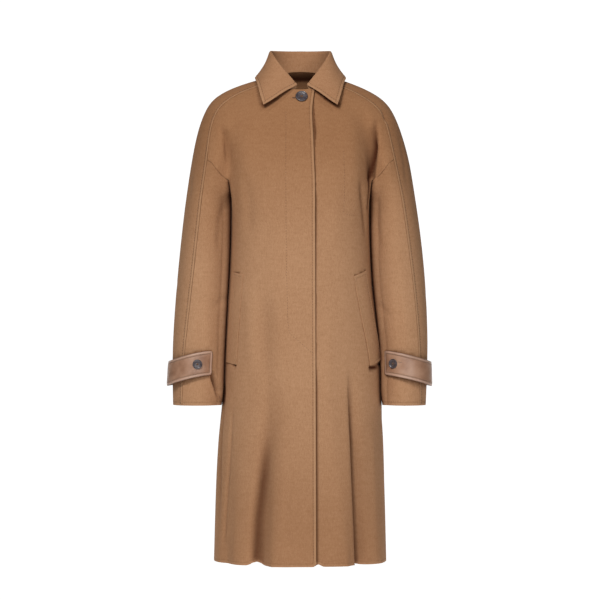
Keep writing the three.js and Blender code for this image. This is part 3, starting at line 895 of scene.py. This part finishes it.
def isWeltFree(point, nextTo):
    return point.x > 0.128 + 0.18 * (-0.43 - point.z) and point.z < -0.43


# Which stretches of each rim are lapped with a raised band, and which are only turned and sewn
lapped = {
    "frontRight": [isFrontEdge],
    "sleeveUpperRight": [besideOf("frontRight", "back", "sleeveUnderRight")],
    "sleeveUpperLeft": [besideOf("frontLeft", "back", "sleeveUnderLeft")],
    "strapRight": [everywhere],
    "strapLeft": [everywhere],
}
turned = {
    "frontRight": [isHem],
    "frontLeft": [isHem],
    "back": [isHem],
    "sleeveUpperRight": [isCuff],
    "sleeveUpperLeft": [isCuff],
    "sleeveUnderRight": [isCuff],
    "sleeveUnderLeft": [isCuff],
    "collar": [isCollarEdge],
    "weltLeft": [isWeltTop, isWeltFree],
}
turnedFrom = 4.4  # mm of a turned edge that lie flat


def farFrom(piece, rim, tests):
    # How far each point of a sheet is from some stretches of its rim, in mm
    spots = [spot for test in tests for run in rim.runs(test)
             for spot in along([rim.points[place] for place in run], 0.0006)]
    if not spots:
        return np.full(len(piece.data.vertices), 99.0)
    tree = KDTree(len(spots))
    for index, spot in enumerate(spots):
        tree.insert(spot, index)
    tree.balance()
    return np.array([tree.find(vertex.co)[2] / mm for vertex in piece.data.vertices])


def markEdges(name, piece, rim):
    # The distance from its edges, for the finishes
    flat = np.maximum(farFrom(piece, rim, turned.get(name, [])), turnedFrom)
    far = np.minimum(farFrom(piece, rim, lapped.get(name, [])), flat)
    marks = piece.data.attributes.new("edge", "FLOAT", "POINT")
    marks.data.foreach_set("value", far)


for name, piece in sheets.items():
    markEdges(name, piece, rims[name])
print("edges marked")

# Painted shade in hollows, where folds and neighbours close a point in: the cloth is painted dark there

hollowShadeSettings = {"reach": 0.03, "start": 0.0008, "tilt": 0.9, "strength": 1.5}


def paintHollowShade(piece, tree):
    points = places(piece)
    tilt = hollowShadeSettings["tilt"]
    found = np.zeros(len(points))
    for index, (point, normal) in enumerate(zip(points, directions(piece))):
        out = Vector(normal)
        side = out.orthogonal().normalized()
        up = out.cross(side)
        start = Vector(point) + out * hollowShadeSettings["start"]
        for way in (out, out + side * tilt, out - side * tilt, out + up * tilt, out - up * tilt):
            gap = tree.ray_cast(start, way.normalized(), hollowShadeSettings["reach"])[3]
            if gap is not None:
                found[index] += (1 - gap / hollowShadeSettings["reach"]) / 5
    marks = piece.data.attributes.new("hollow", "FLOAT", "POINT")
    closed = np.clip(found * hollowShadeSettings["strength"], 0, 1)
    marks.data.foreach_set("value", np.maximum(closed, creaseShade.get(piece.name, 0)))


allSheets = treeOf(*sheets.values())
for piece in sheets.values():
    paintHollowShade(piece, allSheets)
print("hollows marked")

# Sewing

sewing = {
    "edge": {"inside": 0.0064, "pitch": 0.0058, "length": 0.0026, "width": 0.0011},
    "plain": {"inside": 0.0064, "pitch": 0.0058, "length": 0.0024, "width": 0.001},
    "strap": {"inside": 0.0066, "pitch": 0.0034, "length": 0.0025, "width": 0.0007},
    "cuff": {"inside": 0.0078, "pitch": 0.0058, "length": 0.002, "width": 0.0007},
}


def sew(name, tree, rows, kind, finish):
    # Short stitches along each row, half sunk in the cloth
    settings = sewing[kind]
    shape = bmesh.new()
    for row in rows:
        if len(row) < 2:
            print("no cloth under a row of", name)
            continue
        path = along(row, settings["pitch"])
        for start, end in zip(path, path[1:]):
            middle = Vector((start + end) / 2)
            spot, normal = tree.find_nearest(middle)[:2]
            way = Vector(end - start).normalized()
            way = (way - normal * way.dot(normal)).normalized()
            turn = Matrix((way, normal.cross(way), normal)).transposed().to_4x4()
            length = settings["length"] * chance.uniform(0.85, 1.1) / 2
            size = Matrix.Diagonal((length, settings["width"] / 2, settings["width"] / 2, 1))
            place = Matrix.Translation(spot + normal * settings["width"] * 0.15)
            bmesh.ops.create_icosphere(shape, subdivisions=1, radius=1, matrix=place @ turn @ size)
    return meshObject(name, shape, finish)


seen = {
    "placket": [(-31, -66), (-31, -111), (-30, -383), (-27, -511), (-24, -538), (24, -580)],
    "facing": [(92, -149), (92, -283)],
    "facingEnd": [(97, -285), (116, -289)],
    "weltRightBand": [(-142, -413), (-126, -419)],
    "weltLeftBand": [(117, -419), (143, -412)],
}
trees = {name: treeOf(piece) for name, piece in sheets.items()}


def rowsInside(name, kind, *tests):
    rim = rims[name]
    inside = sewing[kind]["inside"]
    return [rim.row(run, inside, trees[name]) for test in tests for run in rim.runs(test)]


threads = {name: [] for name in sheets}


def addSewing(name, rows, kind, finish, part="Stitches"):
    piece = sew(name + part, trees[name], rows, kind, finish)
    threads[name].append(piece)


for side in ("Right", "Left"):
    upper, under, front = "sleeveUpper" + side, "sleeveUnder" + side, "front" + side
    seams = besideOf(front, "back", under)
    addSewing(upper, rowsInside(upper, "edge", seams), "edge", woolThread)
    addSewing(upper, rowsInside(upper, "cuff", isCuff), "cuff", woolThread, "CuffStitches")
    addSewing(under, rowsInside(under, "cuff", isCuff), "cuff", woolThread)
    strap, welt = "strap" + side, "welt" + side
    addSewing(strap, rowsInside(strap, "strap", everywhere), "strap", leatherThread)
    bands = [onto(trees[welt], "front", seen[welt + "Band"])]
    addSewing(welt, rowsInside(welt, "plain", isWeltFree) + bands, "plain", woolThread)

placket = onto(trees["frontRight"], "front", seen["placket"])
addSewing("frontRight", rowsInside("frontRight", "edge", isFrontEdge) + [placket], "plain", woolThread)
facing = [onto(trees["frontLeft"], "front", seen[name]) for name in ("facing", "facingEnd")]
addSewing("frontLeft", facing, "plain", woolThread)
addSewing("collar", rowsInside("collar", "plain", isCollarEdge), "plain", woolThread)
ballFaces = 20  # of each stitch
sewn = sum(len(piece.data.polygons) for pieces in threads.values() for piece in pieces)
print("sewn:", sewn // ballFaces, "stitches")

# Each sheet gets its thickness, and a soft edge

for name, piece in sheets.items():
    wall = piece.modifiers.new("wall", "SOLIDIFY")
    wall.thickness = sheetSettings[name]["thick"] - clothSettings["trim"]
    wall.offset = -1
    soft = piece.modifiers.new("softEdge", "BEVEL")
    soft.width = clothSettings["softEdge"]
    soft.segments = 2
    soft.limit_method = "ANGLE"
    soft.angle_limit = math.radians(clothSettings["softEdgeFrom"])

# Buttons

buttonLook = {
    "profile": [(0, 0), (0.8, 0), (0.97, 0.16), (1, 0.42), (0.98, 0.74), (0.93, 0.94), (0.86, 1),
                (0.79, 0.95), (0.72, 0.74), (0.6, 0.62), (0.3, 0.56), (0, 0.55)],
    "steps": 64,
    "holeApart": 0.15,
    "holeSize": 0.08,
    "dish": 0.54,  # how high the face lies, of the button's height
    "thread": 0.04,
}


def discPlace(nodeName):
    # Middle of a button's back, the way that it faces, its radius and its height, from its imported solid
    points = np.array([vertex.co[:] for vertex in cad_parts[nodeName].data.vertices])
    middle = (points.min(axis=0) + points.max(axis=0)) / 2
    spread = np.linalg.svd(points - points.mean(axis=0), full_matrices=False)[2]
    out = spread[2] if spread[2][1] < 0 else -spread[2]
    rise = (points - middle) @ out
    across = np.linalg.norm((points - middle) - np.outer(rise, out), axis=1)
    return Vector(middle + out * rise.min()), Vector(out), across.max(), rise.max() - rise.min()


def makeButton(name, nodeName):
    back, out, radius, height = discPlace(nodeName)
    shape = bmesh.new()
    profile = [shape.verts.new((x * radius, 0, z * height)) for x, z in buttonLook["profile"]]
    edges = [shape.edges.new(pair) for pair in zip(profile, profile[1:])]
    bmesh.ops.spin(
        shape, geom=profile + edges, cent=(0, 0, 0), axis=(0, 0, 1), angle=2 * math.pi,
        steps=buttonLook["steps"], use_merge=True,
    )
    bmesh.ops.remove_doubles(shape, verts=shape.verts, dist=0.00001)
    bmesh.ops.recalc_face_normals(shape, faces=shape.faces)
    button = meshObject(name, shape, hornFinish)

    drill = bmesh.new()
    apart = buttonLook["holeApart"] * radius
    for sideX in (-1, 1):
        for sideY in (-1, 1):
            place = Matrix.Translation((sideX * apart, sideY * apart, height / 2))
            size = buttonLook["holeSize"] * radius
            bmesh.ops.create_cone(
                drill, cap_ends=True, segments=16, radius1=size, radius2=size, depth=height * 3, matrix=place
            )
    holes = meshObject(name + "Drill", drill, hornFinish)
    cut = button.modifiers.new("holes", "BOOLEAN")
    cut.operation = "DIFFERENCE"
    cut.solver = "EXACT"
    cut.object = holes
    applyModifiers(button)
    bpy.data.objects.remove(holes)

    # The thread crosses between the holes, and goes down behind them
    thread = bmesh.new()
    thick = buttonLook["thread"] * radius
    top = buttonLook["dish"] * height
    for sideX in (-1, 1):
        bar = Matrix.Translation((sideX * apart, 0, top)) @ Matrix.Diagonal((thick, apart * 1.25, thick, 1))
        bmesh.ops.create_icosphere(thread, subdivisions=2, radius=1, matrix=bar)
        cross = Matrix.Translation((0, 0, top + thick * 0.6)) @ Matrix.Rotation(sideX * math.pi / 4, 4, "Z")
        size = Matrix.Diagonal((apart * 1.7, thick * 0.9, thick * 0.8, 1))
        bmesh.ops.create_icosphere(thread, subdivisions=2, radius=1, matrix=cross @ size)
    shank = Matrix.Translation((0, 0, height * 0.1))
    bmesh.ops.create_cone(
        thread, cap_ends=True, segments=16, radius1=apart * 1.6, radius2=apart * 1.3, depth=height,
        matrix=shank,
    )
    stalk = meshObject(name + "Thread", thread, buttonThread)

    turn = Vector((0, 0, 1)).rotation_difference(out).to_matrix().to_4x4()
    for piece in (button, stalk):
        piece.data.transform(Matrix.Translation(back) @ turn)
    for polygon in button.data.polygons:
        polygon.use_smooth = len(polygon.vertices) == 4
    return button, stalk


buttonNodes = {
    "buttonNeck": "button_neck",
    "buttonCuffRight": "button_cuff_right",
    "buttonCuffLeft": "button_cuff_left",
}
buttonPieces = []
for name, nodeName in buttonNodes.items():
    button, stalk = makeButton(name, nodeName)
    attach(button, "root")
    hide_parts(nodeName)
    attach(stalk, "root")
    buttonPieces.append(button)
print("buttons turned:", len(buttonPieces))

# Buttonholes, each a slit of painted shade between two bound lips

buttonholes = {
    "frontRight": {"line": [(-17, -37.5), (2, -37.5)], "slit": 0.0007, "lip": 0.0012},
    "strapLeft": {"line": [(208, -600), (217, -601)], "slit": 0.0005, "lip": 0.0008},
}
slitShadowFinish = makeThread("slit", (42, 30, 24))


def makeButtonhole(sheetName, settings):
    path = along(onto(trees[sheetName], "front", settings["line"]), 0.0008)
    lips = bmesh.new()
    slit = bmesh.new()
    for start, end in zip(path, path[1:]):
        spot, normal = trees[sheetName].find_nearest(Vector((start + end) / 2))[:2]
        way = Vector(end - start).normalized()
        side = normal.cross(way).normalized()
        turn = Matrix((way, side, normal)).transposed().to_4x4()
        for sign in (-1, 1):
            place = Matrix.Translation(spot + side * sign * (settings["slit"] / 2 + settings["lip"] / 2))
            size = Matrix.Diagonal((0.0007, settings["lip"] / 2, settings["lip"] * 0.45, 1))
            bmesh.ops.create_icosphere(lips, subdivisions=1, radius=1, matrix=place @ turn @ size)
        # The slit is a dark solid that paints the shade inside the opening
        size = Matrix.Diagonal((0.0006, settings["slit"] / 2, 0.0003, 1))
        place = Matrix.Translation(spot)
        bmesh.ops.create_icosphere(slit, subdivisions=1, radius=1, matrix=place @ turn @ size)
    finish = leatherThread if sheetName == "strapLeft" else woolThread
    threads[sheetName].append(meshObject(sheetName + "ButtonholeLips", lips, finish))
    threads[sheetName].append(meshObject(sheetName + "Buttonhole", slit, slitShadowFinish))


for name, settings in buttonholes.items():
    makeButtonhole(name, settings)
print("buttonholes bound")

# Each sheet and its sewing hang from the root, and the imported part it replaces is hidden

for name, piece in sheets.items():
    settings = sheetSettings[name]
    for other in [piece] + threads[name]:
        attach(other, "root")
    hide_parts(settings["node"])

# Studio

studio = {
    "lens": 155.0,
    "floorHeight": -1.45,
    "floorPlace": 0.3,
    "floorWidth": 1.3,
    "backdropPlace": 7.0,  # far enough for a look from behind
    "backdropHeight": -0.3,
    "backdropWidth": 5.7,
    "paperGlow": 0.9,
    "roomGlow": 0.12,
}
softboxes = {
    "key": {"place": (-0.7, -2.2, 1.3), "size": 0.6, "power": 44},
    "fill": {"place": (1.2, -2.6, 0.2), "size": 1.2, "power": 15},
    "front": {"place": (0.2, -3.1, -0.1), "size": 1.5, "power": 14},
}
lightAim = Vector((0, 0, -0.4))


def makeStudio():
    camera = bpy.data.objects.new("camera", bpy.data.cameras.new("camera"))
    camera.location = eyes["front"]
    camera.rotation_euler = (math.pi / 2, 0, 0)
    camera.data.lens = studio["lens"]
    camera.data.sensor_width = 36.0
    bpy.context.scene.collection.objects.link(camera)
    bpy.context.scene.camera = camera

    paper = Finish("paper")
    paper.surface(Base_Color=rgb(250, 250, 249), Roughness=0.9)
    paper.surface(Emission_Color=(1, 1, 1, 1), Emission_Strength=studio["paperGlow"])
    ground = bmesh.new()
    bmesh.ops.create_grid(ground, x_segments=1, y_segments=1, size=studio["floorWidth"])
    floor = meshObject("floor", ground, paper.material)
    floor.location = (0, studio["floorPlace"], studio["floorHeight"])
    wall = bmesh.new()
    bmesh.ops.create_grid(wall, x_segments=1, y_segments=1, size=studio["backdropWidth"])
    bmesh.ops.rotate(wall, verts=wall.verts, matrix=Matrix.Rotation(math.pi / 2, 3, "X"))
    backdrop = meshObject("backdrop", wall, paper.material)
    backdrop.location = (0, studio["backdropPlace"], studio["backdropHeight"])


def makeLight(name, settings):
    data = bpy.data.lights.new(name, "AREA")
    data.shape = "DISK"
    data.size = settings["size"]
    data.energy = settings["power"]
    light = bpy.data.objects.new(name, data)
    light.location = settings["place"]
    light.rotation_euler = (lightAim - Vector(settings["place"])).to_track_quat("-Z", "Y").to_euler()
    bpy.context.scene.collection.objects.link(light)


makeStudio()
for name, settings in softboxes.items():
    makeLight(name, settings)
world = bpy.data.worlds.new("studio")
bpy.context.scene.world = world
world.use_nodes = True
world.node_tree.nodes["Background"].inputs["Color"].default_value = (1, 1, 1, 1)
world.node_tree.nodes["Background"].inputs["Strength"].default_value = studio["roomGlow"]
bpy.context.scene.view_settings.view_transform = "Standard"
print("studio lit")
